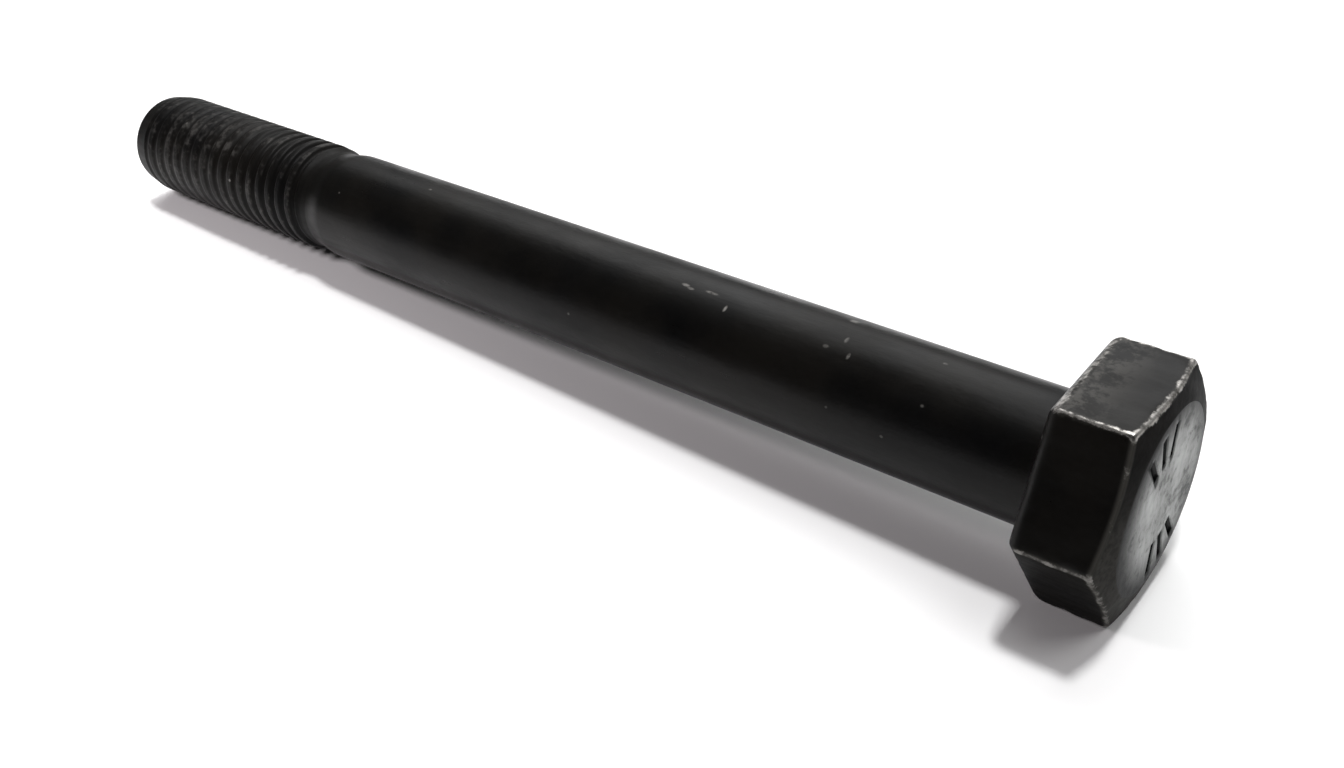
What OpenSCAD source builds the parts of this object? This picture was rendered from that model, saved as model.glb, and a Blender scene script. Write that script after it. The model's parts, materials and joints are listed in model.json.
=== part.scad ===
// Hexagon head bolt with a plain shank, M12 x 1.75 x 120, lying at rest.
// It rests on one side of its head and on the end of its thread, so its axis slopes a little.
// X runs along the bolt towards the head, Z = 0 is the ground, and X = 0 is the middle of its length.

/* [Head] */
// Width across the flats, the size of the wrench
head_af = 19; // [17:0.5:24]
// Height of the head, from the bearing face to the crown
head_h = 7.5; // [6:0.25:10]
// Diameter of the flat disc in the middle of the crown
crown_d = 15.6; // [11:0.2:16.6]
// Slope of the chamfer round the crown, in degrees from the disc
crown_angle = 15; // [10:1:30]
// Rounding of the edge between each side of the head and the bearing face
edge_r = 1.2; // [0.4:0.1:1.6]

/* [Shank] */
// Length of the bolt, from the bearing face to the point
bolt_len = 120; // [70:1:200]
// Diameter of the plain shank
shank_d = 11.7; // [10:0.1:12.6]
// Fillet between the shank and the bearing face
fillet_r = 0.6; // [0.3:0.1:0.9]

/* [Neck] */
// How far the neck lies below the shank and the thread, on the radius
neck_depth = 0.4; // [0.1:0.05:0.8]
// Length of the shoulder that falls from the shank to the neck
shoulder_len = 2.7; // [1:0.1:5]
// Length of the neck
neck_len = 0.8; // [0.4:0.1:4]

/* [Thread] */
// Diameter over the crests of the thread
thread_d = 11.9; // [10.2:0.1:12.6]
// Length of the thread, with its run-out and its point
thread_len = 32; // [16:0.5:60]
// Length over which the thread rises out of the neck
runout_len = 1.5; // [0.5:0.1:3]
// Length of the tapered point
point_len = 3; // [1:0.1:5]
// Diameter of the flat end of the point
point_d = 10.2; // [7:0.1:10.2]

/* [Hidden] */
$fn = 96;

black_oxide = [0.15, 0.15, 0.16];

// The head
side_count = 6;
corner_r = head_af / 2 / cos(180 / side_count);
crown_fall = (corner_r - crown_d / 2) * tan(crown_angle);

// Radii along the stem
shank_r = shank_d / 2;
thread_r = thread_d / 2;
point_r = point_d / 2;
neck_r = min(shank_r, thread_r) - neck_depth;

// Stations along the stem, as distances from the bearing face
neck_end = bolt_len - thread_len;
neck_start = neck_end - neck_len;
shank_end = neck_start - shoulder_len;
crest_start = neck_end + runout_len;
crest_end = bolt_len - point_len;

// At rest the ground touches the rounded edge of the head and the last full crest of the thread
rest_rise = head_af / 2 - edge_r - thread_r;
rest_run = crest_end + edge_r;
rest_tilt = atan(rest_rise / rest_run) + asin(edge_r / norm([rest_rise, rest_run]));
rest_height = thread_r * cos(rest_tilt) + crest_end * sin(rest_tilt);

// Reach of the lying bolt along X, to each side of the middle of the bearing face
reach_head = head_h * cos(rest_tilt) + crown_d / 2 * sin(rest_tilt);
reach_point = bolt_len * cos(rest_tilt) + point_r * sin(rest_tilt);

// Outline across two opposite sides of the head: square at the crown, rounded at the bearing face
module head_outline() {
    for (side = [-1, 1])
        translate([side * (head_af / 2 - edge_r), edge_r]) circle(edge_r);
    translate([-(head_af / 2 - edge_r), 0]) square([head_af - 2 * edge_r, head_h]);
    translate([-head_af / 2, edge_r]) square([head_af, head_h - edge_r]);
}

// Pair of opposite sides, wide enough to hold the corners between the other sides
module head_sides() {
    rotate([90, 0, 0])
        linear_extrude(height = 3 * head_af, center = true)
            head_outline();
}

// Turned form of the crown: a flat disc, then a chamfer that leaves a curved edge on each side
module crown_form() {
    rotate_extrude()
        polygon([
            [0, 0],
            [corner_r + 1, 0],
            [corner_r + 1, head_h - crown_fall - tan(crown_angle)],
            [crown_d / 2, head_h],
            [0, head_h]
        ]);
}

module head() {
    intersection() {
        intersection_for (turn = [0 : 180 / (side_count / 2) : 179])
            rotate([0, 0, turn]) head_sides();
        crown_form();
    }
}

// Fillet where the shank meets the bearing face
module head_fillet() {
    rotate_extrude()
        difference() {
            translate([0, -fillet_r]) square([shank_r + fillet_r, fillet_r]);
            translate([shank_r + fillet_r, -fillet_r]) circle(fillet_r);
        }
}

// Turned stem: shank, shoulder, neck, run-out, crests and point
module stem() {
    rotate_extrude()
        polygon([
            [0, edge_r],
            [shank_r, edge_r],
            [shank_r, -shank_end],
            [neck_r, -neck_start],
            [neck_r, -neck_end],
            [thread_r, -crest_start],
            [thread_r, -crest_end],
            [point_r, -bolt_len],
            [0, -bolt_len]
        ]);
}

// The whole bolt, turned from upright to lying
module bolt() {
    color(black_oxide)
        translate([(reach_point - reach_head) / 2, 0, rest_height])
            rotate([0, 90 - rest_tilt, 0]) {
                head();
                head_fillet();
                stem();
            }
}

bolt();
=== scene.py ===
"""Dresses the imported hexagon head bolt: rolled thread, worn edges, black oxide finish, studio.

Lengths are in metres, in the frame's axes. A station is a distance along the bolt from the
bearing face, positive towards the point. An angle round the bolt is 0 at the top and grows
towards the camera's side, so the corners of the head are at 30, 90, 150 degrees and so on.
"""

import json
import math

import bmesh
import bpy
import numpy as np
from mathutils import Euler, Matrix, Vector, noise


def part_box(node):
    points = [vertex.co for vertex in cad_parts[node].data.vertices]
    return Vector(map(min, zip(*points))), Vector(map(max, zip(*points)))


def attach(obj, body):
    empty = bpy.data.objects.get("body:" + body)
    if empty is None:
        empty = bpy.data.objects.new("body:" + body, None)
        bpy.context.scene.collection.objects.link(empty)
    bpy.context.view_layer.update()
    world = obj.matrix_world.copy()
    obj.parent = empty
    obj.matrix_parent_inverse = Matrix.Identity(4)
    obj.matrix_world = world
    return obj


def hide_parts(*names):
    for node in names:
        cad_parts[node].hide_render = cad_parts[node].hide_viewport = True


MM = 0.001

# Sizes that the frame doesn't give
SIDES = 6
HEAD_HEIGHT = 7.5 * MM
CROWN_RADIUS = 7.8 * MM
CROWN_SLOPE = math.tan(math.radians(15))
UNDER_ROUND = 1.2 * MM
ARRIS_ROUND = 0.28 * MM
EDGE_EASE = 0.3 * MM
RIM_EASE = 0.35 * MM
FILLET = 0.6 * MM
BOLT_LENGTH = 120 * MM
THREAD_LENGTH = 32 * MM
POINT_LENGTH = 2.8 * MM
POINT_RADIUS = 5.45 * MM
POINT_EASE = 0.5 * MM
NECK_LENGTH = 0.8 * MM
NECK_DEPTH = 0.4 * MM
POINT_START = BOLT_LENGTH - POINT_LENGTH
NECK_END = BOLT_LENGTH - THREAD_LENGTH
NECK_START = NECK_END - NECK_LENGTH

# Thread: coarse pitch of a 12 mm bolt, right hand. It gets shallower up to the station WORN_FROM,
# and a crest passes the top of the bolt at the station FIRST_CREST. The shares are of the pitch,
# and the flanks are eased by FLANK_EASE of their length at both ends.
PITCH = 1.75 * MM
THREAD_DEPTH = 0.46 * MM
POINT_DEPTH = 0.12 * MM
WORN_FROM = 107 * MM
CREST_SHARE = 0.36
ROOT_SHARE = 0.14
FLANK_EASE = 0.08
FIRST_CREST = 90.24 * MM

# Plain marks on the crown: two opposite groups of short radial dashes, at these angles in degrees,
# all turned by MARK_TURN. The columns that are fewer than MARK_PINCH away make room for a mark.
MARKS = [-19, 0, 19, 161, 180, 199]
MARK_PINCH = 4
MARK_TURN = 12
MARK_WIDTH = 0.7 * MM
MARK_WALL = 0.1 * MM
MARK_DEPTH = 0.26 * MM
MARK_INNER = 4.0 * MM
MARK_OUTER = 6.9 * MM
MARK_NEAR = 0.8 * MARK_INNER

# Dents along the edges of the head: the noise that pushes them in is raised by DENT_LIFT
DENT_DEPTH = 0.16 * MM
DENT_REACH = 0.9 * MM
DENT_LENGTH = 1.3 * MM
DENT_LIFT = 0.1

# Columns of the mesh: each side of the head has flat ones and ones on its corner
FLAT_STEPS = 24
CORNER_STEPS = 6
COLUMNS = SIDES * (FLAT_STEPS + CORNER_STEPS)

# Rings of the mesh on each form, from the middle of the crown to the middle of the point. Those of
# the chamfer begin at the share CHAMFER_FROM of its width. END_SHARES are of the radius of the
# point's end face.
DISC_STEPS = 6
MARK_STEPS = 7
RIM_STEPS = 2
CHAMFER_STEPS = 9
CHAMFER_FROM = 0.2
EDGE_STEPS = 3
SIDE_STEPS = 12
UNDER_STEPS = 8
FACE_STEPS = 5
FILLET_STEPS = 6
SHANK_STEP = 0.8 * MM
SHOULDER_STEPS = 10
THREAD_STEP = PITCH / 15
END_STEPS = 4
END_SHARES = (0.8, 0.55, 0.3, 0.12)

# Slots of the mesh for the bolt's materials
OXIDE_SLOT, CHAMFER_SLOT, UNDER_SLOT, THREAD_SLOT, CROWN_SLOT = range(5)

# Colours of the finish
OXIDE_DARK = (0.002, 0.002, 0.0021)
OXIDE_BROWN = (0.0045, 0.004, 0.0034)
# Grey of thin oxide, which is also painted on the lower chamfer as a reflection of the floor
OXIDE_THIN_AND_SHEEN = (0.045, 0.043, 0.039)
STEEL_DULL = (0.22, 0.21, 0.195)
STEEL_BRIGHT = (0.62, 0.6, 0.57)
CROWN_DULL = (0.1, 0.104, 0.1)
CROWN_PALE = (0.36, 0.366, 0.36)

# Distance in millimetres for points that are far from every edge, or from the thread
UNWORN = 50.0

# Where wear ends and where it is full, in millimetres. Distances from the edges of the head:
RIM_WEAR = (0.8, 0.06)
ARRIS_WEAR = (0.5, 0.03)
UNDER_WEAR = (1.7, 0.5)
CORNER_ARRIS_WEAR = (1.1, 0.1)
CORNER_RIM_WEAR = (1.0, 0.1)
RIM_THIN = (0.5, 0.05)
ARRIS_THIN = (0.4, 0.05)
UNDER_THIN = (5.5, 1.0)
# Heights above the bolt's axis:
UPPER_EDGES = (8.6, 9.35)
LOWER_EDGES = (1.5, -0.5)
UPPER_SIDE = (9.0, 9.4)
# Heights where a painted reflection of the floor on the lower chamfer starts and where it is full,
# not wear:
LOWER_CHAMFER_SHEEN = (7.5, 1.0)
# Distance below the crests of the thread:
CREST_WEAR = (0.16, 0.02)

# Noises: waves to the millimetre, octaves and roughness, and the stretch of some along the bolt,
# its top and its front
OXIDE_FINE = (1.7, 6.0, 0.65)
OXIDE_COARSE = (0.32, 3.0)
OXIDE_CLOUD = (0.09, 3.0)
OXIDE_GRAIN = (7.0, 2.0)
OXIDE_STREAKS = (1.0, 4.0, 0.6)
STREAK_STRETCH = (0.045, 1.6, 1.6)
OXIDE_PATCHES = (1.0, 4.0, 0.6)
PATCH_STRETCH = (0.12, 0.3, 0.3)
CROWN_FINE = (1.5, 6.0, 0.65)
CROWN_COARSE = (0.26, 3.0)
CROWN_SCRATCHES = (1.0, 5.0, 0.7)
SCRATCH_STRETCH = (1, 0.35, 2.4)

# Levels of a noise where a pattern starts and where it is full, and for some its least and most
BROKEN_LINE = (0.6, 1.1)
COARSE_PATCHES = (0.35, 0.62, 0.6, 1.25)
FINE_PATCHES = (0.3, 0.65, 0.5, 1.15)
NICK_PATCHES = (0.3, 0.6)
RUBBED_PATCHES = (0.98, 1.3)
SCUFF_PATCHES = (0.86, 1.14)
CHAMFER_PATCHES = (0.35, 0.6, 0.6, 1.0)
BROWN_CLOUDS = (0.35, 0.65)
CROWN_SPOTS = (0.36, 0.5)
CROWN_TONES = (0.1, 0.9)

# Weights in a sum: a base, and then one for each pattern in it. The base of a ragged edge takes off
# half of its noises, and that of the roughness does too, so that what is given stays the mean.
RIM_SHARES = (0.4, 0.62, 0.5)
ARRIS_SHARES = (0.9, 0.1)
UNDER_SHARES = (0.25, 0.6)
WEAR_RAGGED = (-0.5 * (1.9 + 1.3), 1.9, 1.3)
WEAR_STRENGTH = (0.2, 0.46, 0.08, 0.7)
OXIDE_ROUGHNESS = (-0.5 * (0.16 + 0.4 + 0.06), 0.16, 0.4, 0.06)
OXIDE_RELIEF = (0.0, 0.7, 0.3, 0.6, 6.0, -0.6)
DISC_RAGGED = (-0.5 * (3.4 + 1.8), 3.4, 1.8)
SPOT_SHARES = (0.0, 0.6, 0.4)
BARE_SHARES = (0.35, 0.65)
TONE_SHARES = (-0.85, 0.5, 0.9, 1.3)
CROWN_ROUGHNESS = (0.36, 0.16, 0.08)
CROWN_RELIEF = (0.0, 0.6, 0.5, -0.3)

# Strength of some patterns, and depth of the relief in millimetres
CORNER_STRENGTH = 0.6
RUBBED_STEEL = 0.08
THIN_EDGES = 0.8
OXIDE_RELIEF_MM = 0.012
CROWN_RELIEF_MM = 0.02
CROWN_SPECULAR = 0.06

# Specks of bare steel: cells to the millimetre, share of the cells, size and how much steel shows
SPECK_CELLS = 0.5
SPECK_CHANCE = 0.05
SPECK_SIZE = 0.07
SPECK_STEEL = 0.16

# Pale disc of the crown, in millimetres: radius where it ends and where it is full, its shift away
# from the camera's side, and the heights between which the walls of the marks turn to steel
DISC_EDGE = (CROWN_RADIUS / MM + 0.5, CROWN_RADIUS / MM - 3.0)
DISC_SHIFT = (0, 0, 0.9)
MARK_EDGE = ((HEAD_HEIGHT - 0.5 * MARK_DEPTH) / MM, (HEAD_HEIGHT - 0.08 * MARK_DEPTH) / MM)

# Nicks: station, angle, length along the bolt and length round it, in millimetres and degrees,
# and how much steel shows. A nick fades out between these shares of its half length.
NICK_FADE = (1.15, 0.35)
NICKS = [
    (71.2, 2, 0.5, 0.3, 0.2),
    (47.6, 76, 0.4, 0.3, 0.15),
    (36.6, 12, 1.0, 0.4, 0.3),
    (35.9, 14, 0.9, 0.35, 0.22),
    (33.7, 11, 1.6, 0.35, 0.26),
    (31.5, 22, 0.35, 0.8, 0.4),
    (20.6, -17, 1.0, 0.9, 0.35),
    (19.6, 12, 0.4, 0.8, 0.2),
    (20.9, 24, 0.7, 0.4, 0.14),
    (18.6, 26, 0.35, 0.7, 0.28),
    (11.0, 1, 0.5, 0.3, 0.2),
    (10.8, 44, 0.4, 0.3, 0.14),
    (18.9, 72, 0.35, 0.3, 0.12),
    (13.5, 79, 0.4, 0.3, 0.12),
    (100.2, 71, 0.4, 0.4, 0.45),
    (112.1, 9, 0.6, 0.5, 0.2),
    (111.2, 26, 0.5, 0.4, 0.2),
]

# Camera, from a fit to the photograph: place, turn about X, Y and Z in degrees, and lens in mm
CAMERA_AT = (85.34 * MM, -80.49 * MM, 80.04 * MM)
CAMERA_TURN = (53.187, 3.346, 38.291)
CAMERA_LENS = 36.35
CAMERA_CLIP = 5 * MM

# Studio: azimuth 0 is the +Y side and 90 the +X side, in degrees, and elevation is from the floor.
# A share is the part of white that a light gives a level white surface.
LAMPS = {
    "key": {"towards": (0, 84), "spread": 8, "share": 0.59},
    "side": {"towards": (60, 60), "spread": 30, "share": 0.22, "mirrored": False},
    "overhead": {"towards": (105, 80), "spread": 40, "share": 0.08, "mirrored": False},
}
# Small near lamp in front of the thread, which fills the shadow of the shank and fades towards
# the head. Its share is the one at the spot that it is aimed at.
NEAR_AT = (-70 * MM, -90 * MM, 115 * MM)
NEAR_AIM = (-35 * MM, -12 * MM, 0)
NEAR_SIZE = 40 * MM
NEAR_SHARE = 0.35
NEAR_TINT = (1.06, 0.99, 1.02)

# The tent glows faintly over one side, and strongly in a small window that shines along the shank.
# Start and full are cosines of the angle from each glow's direction.
TENT_RADIUS = 2.0
TENT_COLUMNS = 48
TENT_GLOWS = [
    {"towards": (-20, 35), "start": -0.3, "full": 0.8, "level": 0.1},
    {"towards": (-30, 47), "start": 0.83, "full": 0.975, "level": 3.3},
]
WORLD_LEVEL = 0.05
FLOOR_HALF = 1.35
FLOOR_WHITE = 0.98
FLOOR_ROUGHNESS = 0.9
FLOOR_SPECULAR = 0.1


# ---------------------------------------------------------------- the bolt's own axes

def mount_table(record):
    return {mount["name"]: mount for mount in record["mounts"]}


class Axes:
    """Origin on the bearing face, and directions towards the crown, the top and the front.

    The front is the camera's side.
    """

    def __init__(self, mounts):
        towards_point = np.array(mounts["shank"]["axis"])
        self.crown = -towards_point / np.linalg.norm(towards_point)
        self.front = np.array([0.0, -1.0, 0.0])
        self.top = np.cross(self.front, self.crown)
        face = np.array(mounts["bearing_face"]["pos_m"])
        self.origin = np.array([face[0], 0.0, face[2]])

    def place(self, rings):
        """Points (towards the crown, top, front) of the bolt, as points of the frame."""
        return self.origin + rings @ np.array([self.crown, self.top, self.front])

    def station(self, point):
        return float((self.origin - np.array(point)) @ self.crown)


# ---------------------------------------------------------------- rings of the mesh

def even_angles():
    """Angle of each column where the bolt is round."""
    step = 2 * math.pi / COLUMNS
    return (np.arange(COLUMNS) - FLAT_STEPS / 2) * step


def hexagon(inradius):
    """Points (top, front) of a hexagon with rounded corners, side after side."""
    half = (inradius - ARRIS_ROUND) * math.tan(math.pi / SIDES)
    along = half * np.sin(np.linspace(-math.pi / 2, math.pi / 2, FLAT_STEPS + 1))
    turn = np.linspace(-math.pi / SIDES, math.pi / SIDES, CORNER_STEPS + 1)[1:-1]
    corner = (inradius - ARRIS_ROUND) / math.cos(math.pi / SIDES)
    points = []
    for side in range(SIDES):
        facing = 2 * math.pi * side / SIDES
        out = np.array([math.cos(facing), math.sin(facing)])
        across = np.array([-out[1], out[0]])
        points += [inradius * out + step * across for step in along]
        middle = facing + math.pi / SIDES
        centre = corner * np.array([math.cos(middle), math.sin(middle)])
        points += [centre + polar(ARRIS_ROUND, middle + t) for t in turn]
    return np.array(points)


def ring(height, points):
    """One ring of the mesh: heights towards the crown, and points (top, front)."""
    rows = np.empty((COLUMNS, 3))
    rows[:, 0] = height
    rows[:, 1:] = points
    return rows


def polar(radius, angle):
    """Points (top, front) at these radii and angles."""
    return np.stack([radius * np.cos(angle), radius * np.sin(angle)], axis=-1)


def wrapped(angle):
    """The same angle, between minus and plus half a turn."""
    return (angle + math.pi) % (2 * math.pi) - math.pi


def to_polar(points):
    """Radius and angle of each point, with angles that follow those of the even columns."""
    angle = np.arctan2(points[:, 1], points[:, 0])
    even = even_angles()
    return np.hypot(points[:, 0], points[:, 1]), even + wrapped(angle - even)


def eased(first, corner, last, steps):
    """Rings on a curve from first to last that turns at corner, without its two ends."""
    share = np.linspace(0, 1, steps + 2)[1:-1]
    return [(1 - t) ** 2 * first + 2 * t * (1 - t) * corner + t ** 2 * last for t in share]


# ---------------------------------------------------------------- head

def crown_ring(radius):
    """Ring on the flat disc of the crown, with the plain marks sunk into it."""
    angle = even_angles()
    if radius <= MARK_NEAR:
        return ring(HEAD_HEIGHT, polar(radius, angle))
    column = 2 * math.pi / COLUMNS
    away = wrapped(angle[:, None] - np.radians([MARK_TURN + mark for mark in MARKS]))
    away = away[np.arange(COLUMNS), np.abs(away).argmin(axis=1)]
    # Columns counted from the nearest mark: 0 and 1 make its floor, and 2 the top of its wall
    count = np.round(away / column)
    places = [0, 1, 2, MARK_PINCH]
    widths = [0, MARK_WIDTH / 2, MARK_WIDTH / 2 + MARK_WALL, MARK_PINCH * column * radius]
    offset = np.interp(np.abs(count), places, widths) * np.sign(count)
    angle = np.where(np.abs(count) < MARK_PINCH, angle - away + offset / radius, angle)
    ends = [MARK_INNER - MARK_WALL, MARK_INNER, MARK_OUTER, MARK_OUTER + MARK_WALL]
    along = np.interp(radius, ends, [0, 1, 1, 0], left=0, right=0)
    sunk = np.where(np.abs(count) <= 1, 1.0, 0.0) * along
    return ring(HEAD_HEIGHT - MARK_DEPTH * sunk, polar(radius, angle))


def crown_radii():
    """Radii of the rings on the flat disc: close together at the ends of the marks."""
    inner = np.linspace(0, MARK_INNER - MARK_WALL, DISC_STEPS + 1)[1:]
    marks = np.linspace(MARK_INNER, MARK_OUTER, MARK_STEPS + 1)
    outer = [MARK_OUTER + MARK_WALL, CROWN_RADIUS - RIM_EASE]
    return list(inner) + list(marks) + outer


def chamfer_ring(outline, share):
    """Ring on the chamfer: share 0 on the rim of the disc, 1 on the sides' curved edges."""
    far, angle = to_polar(outline)
    radius = CROWN_RADIUS + share * (far - CROWN_RADIUS)
    turned = even_angles() + share * (angle - even_angles())
    return ring(HEAD_HEIGHT - (radius - CROWN_RADIUS) * CROWN_SLOPE, polar(radius, turned))


def crown_rings(outline):
    """Rings of the disc and the chamfer, down to the eased upper edge of the sides."""
    far, _ = to_polar(outline)
    width = far.max() - CROWN_RADIUS
    rings = [crown_ring(radius) for radius in crown_radii()]
    rim = chamfer_ring(outline, RIM_EASE / width)
    rings += eased(rings[-1], chamfer_ring(outline, 0), rim, RIM_STEPS) + [rim]
    shares = np.linspace(CHAMFER_FROM, 1 - EDGE_EASE / width, CHAMFER_STEPS)
    rings += [chamfer_ring(outline, share) for share in shares]
    edge = chamfer_ring(outline, 1)
    below = ring(edge[:, 0] - EDGE_EASE, outline)
    return rings + eased(rings[-1], edge, below, EDGE_STEPS) + [below]


def side_rings(upper, outline, inradius):
    """Rings from the upper edge of the sides to the rounding under them."""
    lowest = ring(UNDER_ROUND, outline)
    rings = [upper + share * (lowest - upper) for share in np.linspace(0, 1, SIDE_STEPS + 1)[1:]]
    for turn in np.linspace(0, math.pi / 2, UNDER_STEPS + 1)[1:]:
        round_in = UNDER_ROUND * (1 - math.cos(turn))
        rings.append(ring(UNDER_ROUND * (1 - math.sin(turn)), hexagon(inradius - round_in)))
    return rings


def bearing_rings(inradius, shank_radius):
    """Rings of the bearing face, and of the fillet that joins it to the shank."""
    radius, angle = to_polar(hexagon(inradius - UNDER_ROUND))
    foot = shank_radius + FILLET
    rings = []
    for share in np.linspace(0, 1, FACE_STEPS + 1)[1:]:
        turned = angle + share * (even_angles() - angle)
        rings.append(ring(0.0, polar(radius + share * (foot - radius), turned)))
    for turn in np.linspace(0, math.pi / 2, FILLET_STEPS + 1)[1:]:
        round_in = shank_radius + FILLET * (1 - math.sin(turn))
        rings.append(ring(-FILLET * (1 - math.cos(turn)), polar(round_in, even_angles())))
    return rings


def head_rings(inradius, shank_radius):
    """Rings from the crown's middle to the shank."""
    outline = hexagon(inradius)
    crown = crown_rings(outline)
    sides = side_rings(crown[-1], outline, inradius)
    return crown + sides + bearing_rings(inradius, shank_radius)


# ---------------------------------------------------------------- stem

def smooth(low, high, value):
    """0 below low, 1 above high, and a smooth rise between them."""
    share = np.clip((value - low) / (high - low), 0, 1)
    return share * share * (3 - 2 * share)


class Stem:
    """Radius of the shank, neck, thread and point at each station and angle."""

    def __init__(self, axes, mounts):
        shank, thread = mounts["shank"], mounts["thread"]
        self.shank_radius = shank["dims"]["r_mm"] * MM
        self.thread_radius = thread["dims"]["r_mm"] * MM
        half = thread["dims"]["length_mm"] * MM / 2
        self.crest_start = axes.station(thread["pos_m"]) - half
        self.shank_end = axes.station(shank["pos_m"]) + shank["dims"]["length_mm"] * MM / 2
        self.neck_radius = self.shank_radius - NECK_DEPTH

    def outer(self, station):
        """Radius over the crests."""
        fall = smooth(self.shank_end, NECK_START, station)
        rise = smooth(NECK_END, self.crest_start, station)
        radius = self.shank_radius + fall * (self.neck_radius - self.shank_radius)
        radius = radius + rise * (self.thread_radius - self.neck_radius)
        taper = np.clip((station - POINT_START) / (BOLT_LENGTH - POINT_START), 0, 1)
        return radius + taper * (POINT_RADIUS - self.thread_radius)

    def radius(self, station, angle):
        """Radius of the surface: the worn thread rises out of the neck and gets shallower."""
        turns = (station - FIRST_CREST) / PITCH + angle / (2 * math.pi)
        off_crest = np.abs(turns - np.round(turns)) * 2
        flank = (off_crest - CREST_SHARE) / (1 - CREST_SHARE - ROOT_SHARE)
        worn = smooth(self.crest_start, WORN_FROM, station)
        depth = THREAD_DEPTH + worn * (POINT_DEPTH - THREAD_DEPTH)
        form = self.thread_radius - depth * smooth(-FLANK_EASE, 1 + FLANK_EASE, flank)
        if station < NECK_END:
            form[:] = self.thread_radius
        return np.minimum(self.outer(station), form)

    def depth(self, points):
        """How far each point lies below the crests of the thread; far below anywhere else."""
        below = self.thread_radius - np.hypot(points[:, 1], points[:, 2])
        return np.where(-points[:, 0] > NECK_END, below, UNWORN * MM)

    def stations(self):
        """Stations of the rings: wide steps on the shank, close ones on the thread."""
        last = BOLT_LENGTH - POINT_EASE
        shank_steps = round((self.shank_end - FILLET) / SHANK_STEP)
        thread_steps = round((last - NECK_START) / THREAD_STEP)
        shank = np.linspace(FILLET, self.shank_end, shank_steps + 1)
        shoulder = np.linspace(self.shank_end, NECK_START, SHOULDER_STEPS + 1)
        thread = np.linspace(NECK_START, last, thread_steps + 1)
        return np.concatenate([shank[1:], shoulder[1:], thread[1:]])

    def rings(self):
        """Rings from the fillet to the middle of the point's end face."""
        angle = even_angles()
        rings = [ring(-s, polar(self.radius(s, angle), angle)) for s in self.stations()]
        end = self.radius(BOLT_LENGTH, angle)
        corner = ring(-BOLT_LENGTH, polar(end, angle))
        inside = ring(-BOLT_LENGTH, polar(end - POINT_EASE, angle))
        rings += eased(rings[-1], corner, inside, END_STEPS) + [inside]
        for share in END_SHARES:
            rings.append(ring(-BOLT_LENGTH, polar((end - POINT_EASE) * share, angle)))
        return rings


# ---------------------------------------------------------------- mesh

def close_rings(rings, first, last):
    """Vertices and faces of a closed mesh: rings joined by quads, with a point at each end."""
    vertices = np.concatenate([[first], *rings, [last]])
    columns = np.arange(COLUMNS)
    following = np.roll(columns, -1)
    faces = [(0, 1 + a, 1 + b) for a, b in zip(columns, following)]
    for row in range(len(rings) - 1):
        near, far = 1 + row * COLUMNS, 1 + (row + 1) * COLUMNS
        faces += [(near + a, far + a, far + b, near + b) for a, b in zip(columns, following)]
    near, end = 1 + (len(rings) - 1) * COLUMNS, len(vertices) - 1
    faces += [(near + a, end, near + b) for a, b in zip(columns, following)]
    return vertices, [tuple(int(i) for i in face) for face in faces]


def edge_distances(points, inradius):
    """How far each point lies from the arrises, the chamfer's outer edge and the bearing edge."""
    height, top, front = points.T
    sector = 2 * math.pi / SIDES
    angle = (np.arctan2(front, top) + sector / 2) % sector - sector / 2
    radius = np.hypot(top, front)
    far = inradius / np.cos(angle)
    inward = inradius - radius * np.cos(angle)
    arris = np.hypot(inradius * math.tan(sector / 2) - radius * np.abs(np.sin(angle)), inward)
    rim = np.hypot(height - HEAD_HEIGHT + (far - CROWN_RADIUS) * CROWN_SLOPE, far - radius)
    under = np.hypot(height, far - radius)
    distances = np.stack([arris, rim, under], axis=1)
    distances[height < -FILLET] = UNWORN * MM
    return distances


def dent(points, distances):
    """Push the edges of the head inwards here and there, towards its middle."""
    reach = 1 - smooth(0, DENT_REACH, distances.min(axis=1))
    waves = np.array([noise.noise(Vector(point / DENT_LENGTH)) for point in points])
    push = DENT_DEPTH * reach * np.clip(waves + DENT_LIFT, 0, 1)
    inwards = np.array([HEAD_HEIGHT / 2, 0, 0]) - points
    inwards /= np.linalg.norm(inwards, axis=1, keepdims=True)
    return points + inwards * push[:, None]


def store(mesh, name, kind, values):
    """Keep a value for each vertex, which the materials read."""
    attribute = mesh.attributes.new(name, kind, "POINT")
    field = "vector" if kind == "FLOAT_VECTOR" else "value"
    attribute.data.foreach_set(field, np.asarray(values, dtype=np.float32).ravel())


def add_object(name, data):
    """New object in the scene, at the frame's origin."""
    added = bpy.data.objects.new(name, data)
    bpy.context.scene.collection.objects.link(added)
    return added


def finish_faces(mesh, vertices, thread_row):
    """Give the disc, the chamfer, the lower half of the head and the thread their materials."""
    # The eased edges on both sides of the chamfer belong half to it
    disc_rows = len(crown_radii()) + RIM_STEPS // 2
    chamfer_rows = disc_rows + RIM_STEPS + CHAMFER_STEPS + EDGE_STEPS // 2
    for face in mesh.polygons:
        row = max(face.vertices[0] - 1, 0) // COLUMNS
        height, top, _ = vertices[list(face.vertices)].mean(axis=0)
        if row < disc_rows:
            face.material_index = CROWN_SLOT
        elif row < chamfer_rows:
            face.material_index = CHAMFER_SLOT
        # Painted shade: the lower half of the head takes a copy of the oxide with weaker
        # reflections
        elif height > 0 and top < 0:
            face.material_index = UNDER_SLOT
        elif row >= thread_row:
            face.material_index = THREAD_SLOT


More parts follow.
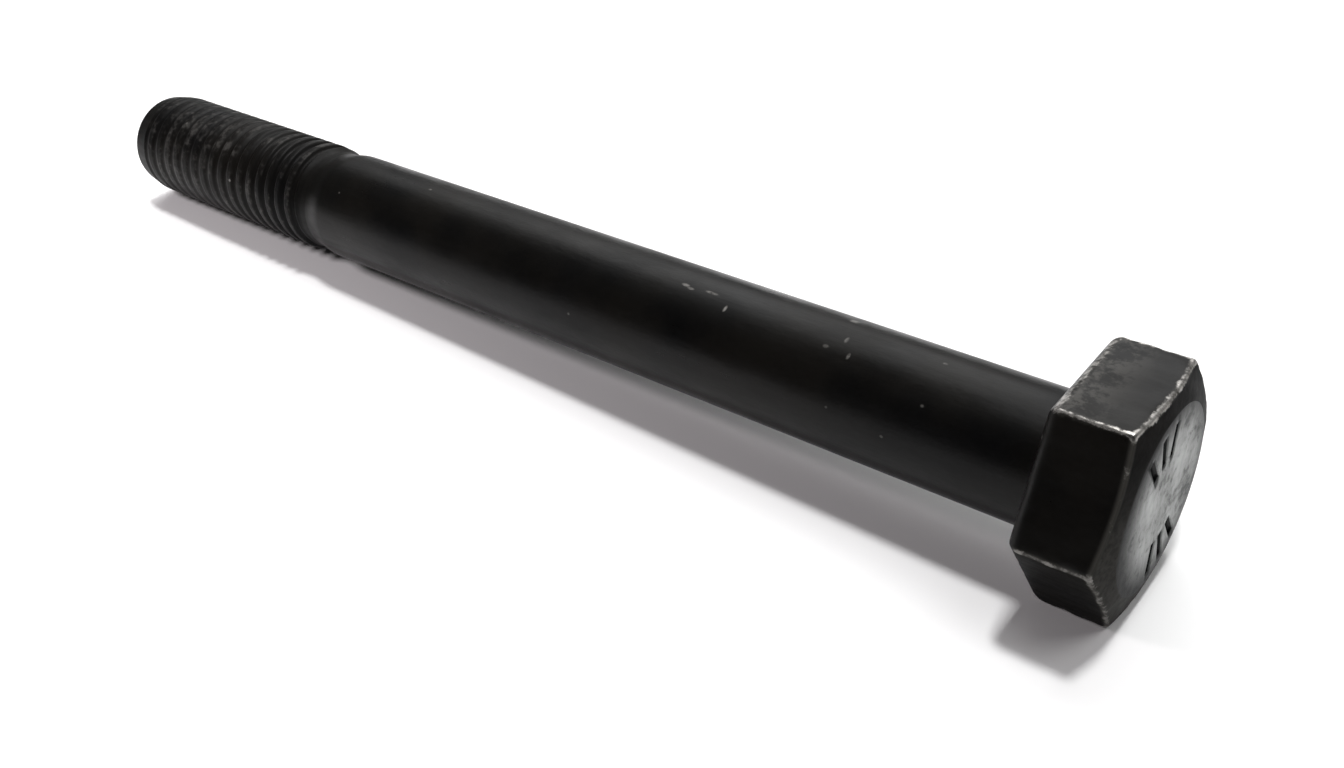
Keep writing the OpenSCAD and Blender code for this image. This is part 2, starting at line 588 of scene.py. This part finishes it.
def build_bolt(axes, stem, inradius):
    """The whole bolt as one closed mesh, with the values that its materials read."""
    rings = head_rings(inradius, stem.shank_radius) + stem.rings()
    thread_row = sum(1 for each in rings if each[0, 0] > -NECK_START)
    crown_middle = np.array([HEAD_HEIGHT, 0, 0])
    end_middle = np.array([-BOLT_LENGTH, 0, 0])
    vertices, faces = close_rings(rings, crown_middle, end_middle)
    distances = edge_distances(vertices, inradius)
    vertices = dent(vertices, distances)
    mesh = bpy.data.meshes.new("bolt_finish")
    mesh.from_pydata(axes.place(vertices).tolist(), [], faces)
    mesh.shade_smooth()
    store(mesh, "place", "FLOAT_VECTOR", vertices / MM)
    store(mesh, "edges", "FLOAT_VECTOR", distances / MM)
    store(mesh, "depth", "FLOAT", stem.depth(vertices) / MM)
    for material in finishes(stem):
        mesh.materials.append(material)
    finish_faces(mesh, vertices, thread_row)
    return add_object("bolt_finish", mesh)


# ---------------------------------------------------------------- materials

def new_material(name):
    """New material, with its nodes and its links."""
    material = bpy.data.materials.new(name)
    material.use_nodes = True
    return material, material.node_tree.nodes, material.node_tree.links


class Shading:
    """Short calls for the nodes of one material. A plain number may stand for any value."""

    def __init__(self, name):
        self.material, self.nodes, self.links = new_material(name)
        self.shader = self.nodes["Principled BSDF"]

    def put(self, socket, value):
        """Link a socket, or set it where the value is a plain one."""
        if isinstance(value, bpy.types.NodeSocket):
            self.links.new(value, socket)
        else:
            socket.default_value = value

    def attribute(self, name, output):
        """A value that is stored with the mesh."""
        node = self.nodes.new("ShaderNodeAttribute")
        node.attribute_name = name
        return node.outputs[output]

    def parts(self, vector):
        """The three numbers of a vector."""
        node = self.nodes.new("ShaderNodeSeparateXYZ")
        self.put(node.inputs[0], vector)
        return node.outputs

    def vector(self, operation, first, second=None):
        node = self.nodes.new("ShaderNodeVectorMath")
        node.operation = operation
        self.put(node.inputs[0], first)
        if second is not None:
            self.put(node.inputs[1], second)
        return node.outputs["Value" if operation == "LENGTH" else "Vector"]

    def math(self, operation, first, second):
        node = self.nodes.new("ShaderNodeMath")
        node.operation = operation
        self.put(node.inputs[0], first)
        self.put(node.inputs[1], second)
        return node.outputs[0]

    def add(self, *values):
        total = values[0]
        for value in values[1:]:
            total = self.math("ADD", total, value)
        return total

    def times(self, *values):
        product = values[0]
        for value in values[1:]:
            product = self.math("MULTIPLY", product, value)
        return product

    def most(self, *values):
        largest = values[0]
        for value in values[1:]:
            largest = self.math("MAXIMUM", largest, value)
        return largest

    def weighted(self, weights, *values):
        """Sum of the first weight, which is a base, and of each value times its own weight."""
        base, *shares = weights
        return self.add(base, *[self.times(*pair) for pair in zip(values, shares)])

    def rise(self, value, start, end, low=0.0, high=1.0):
        """Smooth step from low at start to high at end; start may lie above end."""
        node = self.nodes.new("ShaderNodeMapRange")
        node.interpolation_type = "SMOOTHSTEP"
        ends = {"From Min": start, "From Max": end, "To Min": low, "To Max": high}
        for name, number in ends.items():
            node.inputs[name].default_value = number
        self.put(node.inputs["Value"], value)
        return node.outputs["Result"]

    def noise(self, place, scale, detail=3.0, roughness=0.55):
        """Noise, 0 to 1, with so many waves to the millimetre."""
        node = self.nodes.new("ShaderNodeTexNoise")
        node.inputs["Scale"].default_value = scale
        node.inputs["Detail"].default_value = detail
        node.inputs["Roughness"].default_value = roughness
        self.put(node.inputs["Vector"], place)
        return node.outputs[0]

    def stretched(self, place, factors):
        """A place, closer together along each axis by its factor."""
        return self.vector("MULTIPLY", place, factors)

    def specks(self, place, scale, chance, size):
        """Small round specks, in the given share of the cells of a random pattern."""
        node = self.nodes.new("ShaderNodeTexVoronoi")
        node.inputs["Scale"].default_value = scale
        self.put(node.inputs["Vector"], place)
        picked = self.rise(self.parts(node.outputs["Color"])[0], chance, chance * 0.8)
        return self.times(self.rise(node.outputs["Distance"], size, size * 0.4), picked)

    def colour(self, share, first, second):
        """Mix of two colours, from the first at share 0 to the second at 1."""
        node = self.nodes.new("ShaderNodeMix")
        node.data_type = "RGBA"
        self.put(node.inputs["Factor"], share)
        # The sockets for colours come after those for numbers and vectors of the same name
        for socket, value in zip(node.inputs[6:8], (first, second)):
            self.put(socket, value if isinstance(value, bpy.types.NodeSocket) else (*value, 1.0))
        return node.outputs[2]

    def bump(self, height, depth_mm):
        node = self.nodes.new("ShaderNodeBump")
        node.inputs["Strength"].default_value = 1.0
        node.inputs["Distance"].default_value = depth_mm * MM
        self.put(node.inputs["Height"], height)
        return node.outputs[0]

    def finish(self, colour, metallic, roughness, specular, normal):
        """Set the shader, and give the material."""
        inputs = self.shader.inputs
        self.put(inputs["Base Color"], colour)
        self.put(inputs["Metallic"], metallic)
        self.put(inputs["Roughness"], roughness)
        self.put(inputs["Specular IOR Level"], specular)
        self.put(inputs["Normal"], normal)
        return self.material


def nick_mask(shade, place, radius_mm):
    """Bare spots where the shank and the thread are nicked."""
    spots = []
    for station, angle, along, around, strength in NICKS:
        turn = math.radians(angle)
        centre = (-station, radius_mm * math.cos(turn), radius_mm * math.sin(turn))
        offset = shade.vector("SUBTRACT", place, centre)
        halves = shade.stretched(offset, (2 / along, 2 / around, 2 / around))
        spots.append(shade.rise(shade.vector("LENGTH", halves), *NICK_FADE, 0.0, strength))
    return shade.most(*spots)


def edge_wear(shade, place, fine, coarse):
    """Bare steel along the edges of the head: wide and bright on its upper side, faint below."""
    arris, rim, under = shade.parts(shade.attribute("edges", "Vector"))
    top = shade.parts(place)[1]
    upper = shade.rise(top, *UPPER_EDGES)
    low = shade.rise(top, *LOWER_EDGES)
    rim_line = shade.times(shade.rise(rim, *RIM_WEAR), shade.weighted(RIM_SHARES, upper, low))
    arris_line = shade.times(shade.rise(arris, *ARRIS_WEAR), shade.weighted(ARRIS_SHARES, upper))
    under_line = shade.times(shade.rise(under, *UNDER_WEAR), shade.weighted(UNDER_SHARES, upper))
    corner = shade.times(
        shade.rise(arris, *CORNER_ARRIS_WEAR),
        shade.rise(rim, *CORNER_RIM_WEAR),
        shade.add(upper, low),
        CORNER_STRENGTH,
    )
    line = shade.add(shade.most(rim_line, arris_line, under_line), corner)
    ragged = shade.weighted(WEAR_RAGGED, fine, coarse)
    return shade.times(
        shade.rise(shade.add(line, ragged), *BROKEN_LINE),
        shade.weighted(WEAR_STRENGTH, upper, low, corner),
        shade.rise(coarse, *COARSE_PATCHES),
        shade.rise(fine, *FINE_PATCHES),
    )


def bare_steel(shade, place, fine, coarse, radius_mm):
    """Share of steel that shows: worn edges, nicks, specks and rubbed crests of the thread."""
    worn = edge_wear(shade, place, fine, coarse)
    nicks = shade.times(nick_mask(shade, place, radius_mm), shade.rise(fine, *NICK_PATCHES))
    specks = shade.specks(place, SPECK_CELLS, SPECK_CHANCE, SPECK_SIZE)
    crest = shade.rise(shade.attribute("depth", "Fac"), *CREST_WEAR)
    patches = shade.rise(shade.add(fine, coarse), *RUBBED_PATCHES)
    rubbed = shade.times(crest, patches, RUBBED_STEEL)
    return shade.most(worn, nicks, shade.times(specks, SPECK_STEEL), rubbed)


def thin_oxide_and_painted_sheen(shade, place, fine, coarse, chamfer_painted_sheen):
    """Share of thin, greyer oxide on scuffs of the upper side and on all edges, and of the same
    grey painted on the low chamfer as a reflection of the floor.
    """
    arris, rim, under = shade.parts(shade.attribute("edges", "Vector"))
    top = shade.parts(place)[1]
    scuffs = shade.times(
        shade.rise(under, *UNDER_THIN),
        shade.rise(shade.add(fine, coarse), *SCUFF_PATCHES),
        shade.rise(top, *UPPER_SIDE),
    )
    mottled = shade.rise(fine, *CHAMFER_PATCHES)
    # Painted reflection: the lower part of the chamfer is lightened with the grey of thin oxide, in
    # place of the floor's reflection
    chamfer = shade.times(shade.rise(top, *LOWER_CHAMFER_SHEEN), mottled, chamfer_painted_sheen)
    edges = shade.most(shade.rise(rim, *RIM_THIN), shade.rise(arris, *ARRIS_THIN))
    return shade.most(scuffs, chamfer, shade.times(edges, THIN_EDGES))


def black_oxide(name, roughness, specular, radius_mm, chamfer_painted_sheen=0.0):
    """Black oxide over steel: streaked along the bolt, mottled, and worn at edges and nicks."""
    shade = Shading(name)
    place = shade.attribute("place", "Vector")
    fine = shade.noise(place, *OXIDE_FINE)
    coarse = shade.noise(place, *OXIDE_COARSE)
    cloud = shade.noise(place, *OXIDE_CLOUD)
    grain = shade.noise(place, *OXIDE_GRAIN)
    streaks = shade.noise(shade.stretched(place, STREAK_STRETCH), *OXIDE_STREAKS)
    patches = shade.noise(shade.stretched(place, PATCH_STRETCH), *OXIDE_PATCHES)

    bare = bare_steel(shade, place, fine, coarse, radius_mm)
    # Thin oxide, and on the lower chamfer a painted reflection of the floor in the same grey
    thin = thin_oxide_and_painted_sheen(shade, place, fine, coarse, chamfer_painted_sheen)
    oxide = shade.colour(shade.rise(cloud, *BROWN_CLOUDS), OXIDE_DARK, OXIDE_BROWN)
    oxide = shade.colour(thin, oxide, OXIDE_THIN_AND_SHEEN)
    steel = shade.colour(fine, STEEL_DULL, STEEL_BRIGHT)
    colour = shade.colour(bare, oxide, steel)
    uneven = shade.add(roughness, shade.weighted(OXIDE_ROUGHNESS, streaks, patches, fine))
    relief = shade.weighted(OXIDE_RELIEF, streaks, grain, fine, patches, bare)
    return shade.finish(colour, bare, uneven, specular, shade.bump(relief, OXIDE_RELIEF_MM))


def worn_crown():
    """Disc of the crown: the oxide is rubbed thin to pale mottled steel, and stays in the marks."""
    shade = Shading("worn_crown")
    place = shade.attribute("place", "Vector")
    height = shade.parts(place)[0]
    centred = shade.vector("ADD", place, DISC_SHIFT)
    radius = shade.vector("LENGTH", shade.stretched(centred, (0, 1, 1)))
    fine = shade.noise(place, *CROWN_FINE)
    coarse = shade.noise(place, *CROWN_COARSE)
    scratches = shade.noise(shade.stretched(place, SCRATCH_STRETCH), *CROWN_SCRATCHES)

    ragged = shade.weighted(DISC_RAGGED, coarse, fine)
    inside = shade.rise(shade.add(radius, ragged), *DISC_EDGE)
    outside_marks = shade.rise(height, *MARK_EDGE)
    spots = shade.rise(shade.weighted(SPOT_SHARES, fine, coarse), *CROWN_SPOTS)
    bare = shade.times(inside, outside_marks, shade.weighted(BARE_SHARES, spots))
    tone = shade.rise(shade.weighted(TONE_SHARES, fine, scratches, coarse), *CROWN_TONES)
    steel = shade.colour(tone, CROWN_DULL, CROWN_PALE)
    colour = shade.colour(bare, OXIDE_DARK, steel)
    uneven = shade.weighted(CROWN_ROUGHNESS, scratches, fine)
    relief = shade.weighted(CROWN_RELIEF, fine, scratches, bare)
    normal = shade.bump(relief, CROWN_RELIEF_MM)
    return shade.finish(colour, bare, uneven, CROWN_SPECULAR, normal)


def finishes(stem):
    """The bolt's materials, in the order of its mesh's slots."""
    shank, thread = stem.shank_radius / MM, stem.thread_radius / MM
    slots = {
        OXIDE_SLOT: black_oxide("black_oxide_steel", 0.36, 0.12, shank),
        # The lower part of the chamfer gets a painted reflection of the floor
        CHAMFER_SLOT: black_oxide("black_oxide_chamfer", 0.5, 0.015, shank, chamfer_painted_sheen=0.7),
        # Painted shade: the same oxide with weaker reflections, for the lower half of the head only
        UNDER_SLOT: black_oxide("black_oxide_under_shaded", 0.5, 0.03, shank),
        THREAD_SLOT: black_oxide("black_oxide_thread", 0.5, 0.1, thread),
        CROWN_SLOT: worn_crown(),
    }
    return [slots[slot] for slot in sorted(slots)]


# ---------------------------------------------------------------- studio

def make_floor():
    """White paper that the bolt lies on."""
    mesh = bpy.data.meshes.new("floor")
    half = FLOOR_HALF
    corners = [(-half, -half, 0), (half, -half, 0), (half, half, 0), (-half, half, 0)]
    mesh.from_pydata(corners, [], [(0, 1, 2, 3)])
    material, nodes, _ = new_material("floor_paper")
    shader = nodes["Principled BSDF"]
    shader.inputs["Base Color"].default_value = (FLOOR_WHITE, FLOOR_WHITE, FLOOR_WHITE, 1)
    shader.inputs["Roughness"].default_value = FLOOR_ROUGHNESS
    shader.inputs["Specular IOR Level"].default_value = FLOOR_SPECULAR
    mesh.materials.append(material)
    add_object("floor", mesh)


def direction(azimuth, elevation):
    """Unit vector: azimuth 0 points to the +Y side, 90 to the +X side."""
    turn, rise = math.radians(azimuth), math.radians(elevation)
    level = math.cos(rise)
    return Vector((math.sin(turn) * level, math.cos(turn) * level, math.sin(rise)))


def add_lamp(name, towards, spread, share, mirrored=True):
    """Lamp at infinity, as wide as its spread in degrees, that shows in gloss or doesn't."""
    data = bpy.data.lights.new(name, "SUN")
    data.energy = share * math.pi / math.sin(math.radians(towards[1]))
    data.angle = math.radians(spread)
    lamp = add_object(name, data)
    lamp.visible_glossy = mirrored
    lamp.rotation_euler = direction(*towards).to_track_quat("Z", "Y").to_euler()


def add_near_lamp():
    """Small round lamp with the given share at the spot on the floor that it is aimed at."""
    reach = Vector(NEAR_AT) - Vector(NEAR_AIM)
    data = bpy.data.lights.new("near", "AREA")
    data.shape = "DISK"
    data.size = NEAR_SIZE
    data.energy = NEAR_SHARE * math.pi ** 2 * reach.length ** 3 / reach.z
    data.color = NEAR_TINT
    lamp = add_object("near", data)
    lamp.location = NEAR_AT
    lamp.rotation_euler = reach.to_track_quat("Z", "Y").to_euler()
    lamp.visible_glossy = False
    lamp.visible_camera = False


def tent_glow(nodes, links, towards, start, full, level):
    """Emission that rises to a level where the tent lies towards a direction."""
    place = nodes.new("ShaderNodeTexCoord")
    unit = nodes.new("ShaderNodeVectorMath")
    unit.operation = "NORMALIZE"
    links.new(place.outputs["Object"], unit.inputs[0])
    facing = nodes.new("ShaderNodeVectorMath")
    facing.operation = "DOT_PRODUCT"
    facing.inputs[1].default_value = direction(*towards)
    links.new(unit.outputs[0], facing.inputs[0])
    rise = nodes.new("ShaderNodeMapRange")
    rise.interpolation_type = "SMOOTHSTEP"
    rise.inputs["From Min"].default_value = start
    rise.inputs["From Max"].default_value = full
    rise.inputs["To Min"].default_value = 0
    rise.inputs["To Max"].default_value = level
    links.new(facing.outputs["Value"], rise.inputs["Value"])
    emission = nodes.new("ShaderNodeEmission")
    links.new(rise.outputs["Result"], emission.inputs["Strength"])
    return emission.outputs[0]


def make_tent():
    """Light tent round the bolt, which the camera itself doesn't see."""
    tent = bmesh.new()
    bmesh.ops.create_uvsphere(
        tent, u_segments=TENT_COLUMNS, v_segments=TENT_COLUMNS // 2, radius=TENT_RADIUS)
    mesh = bpy.data.meshes.new("light_tent")
    tent.to_mesh(mesh)
    tent.free()
    piece = add_object("light_tent", mesh)
    piece.visible_camera = False
    piece.visible_shadow = False
    material, nodes, links = new_material("tent_cloth")
    nodes.remove(nodes["Principled BSDF"])
    both = nodes.new("ShaderNodeAddShader")
    for socket, glow in zip(both.inputs, TENT_GLOWS):
        links.new(tent_glow(nodes, links, **glow), socket)
    links.new(both.outputs[0], nodes["Material Output"].inputs["Surface"])
    material.cycles.emission_sampling = "NONE"
    mesh.materials.append(material)


def light_world():
    """White for the camera and for what metal reflects; the tent gives the soft light."""
    world = bpy.data.worlds.new("studio")
    bpy.context.scene.world = world
    world.use_nodes = True
    nodes, links = world.node_tree.nodes, world.node_tree.links
    path = nodes.new("ShaderNodeLightPath")
    seen = path.outputs["Is Camera Ray"]
    for kind in ("Is Glossy Ray", "Is Transmission Ray"):
        either = nodes.new("ShaderNodeMath")
        either.operation = "MAXIMUM"
        links.new(seen, either.inputs[0])
        links.new(path.outputs[kind], either.inputs[1])
        seen = either.outputs[0]
    level = nodes.new("ShaderNodeMapRange")
    level.inputs["To Min"].default_value = WORLD_LEVEL
    level.inputs["To Max"].default_value = 1.0
    links.new(seen, level.inputs["Value"])
    background = nodes["Background"]
    background.inputs["Color"].default_value = (1, 1, 1, 1)
    links.new(level.outputs["Result"], background.inputs["Strength"])


def add_camera():
    """Camera at the photograph's viewing angle."""
    data = bpy.data.cameras.new("camera")
    data.lens = CAMERA_LENS
    data.clip_start = CAMERA_CLIP
    camera = add_object("camera", data)
    camera.location = CAMERA_AT
    camera.rotation_euler = Euler([math.radians(turn) for turn in CAMERA_TURN])
    bpy.context.scene.camera = camera


# ---------------------------------------------------------------- the scene

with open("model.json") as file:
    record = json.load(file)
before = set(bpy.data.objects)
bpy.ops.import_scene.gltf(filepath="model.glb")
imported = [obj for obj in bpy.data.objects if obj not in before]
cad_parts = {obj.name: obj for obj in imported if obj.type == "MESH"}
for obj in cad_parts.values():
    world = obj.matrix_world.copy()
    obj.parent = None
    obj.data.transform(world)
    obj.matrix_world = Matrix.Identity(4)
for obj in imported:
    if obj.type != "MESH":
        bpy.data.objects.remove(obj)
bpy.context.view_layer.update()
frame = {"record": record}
mounts = mount_table(frame["record"])
axes = Axes(mounts)
low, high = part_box("bolt")
head_inradius = (high.y - low.y) / 2 * math.cos(math.pi / SIDES)

stem = Stem(axes, mounts)
bolt = build_bolt(axes, stem, head_inradius)
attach(bolt, "root")
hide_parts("bolt")

make_floor()
light_world()
make_tent()
for name, lamp in LAMPS.items():
    add_lamp(name, **lamp)
add_near_lamp()
add_camera()
bpy.context.scene.view_settings.view_transform = "Standard"
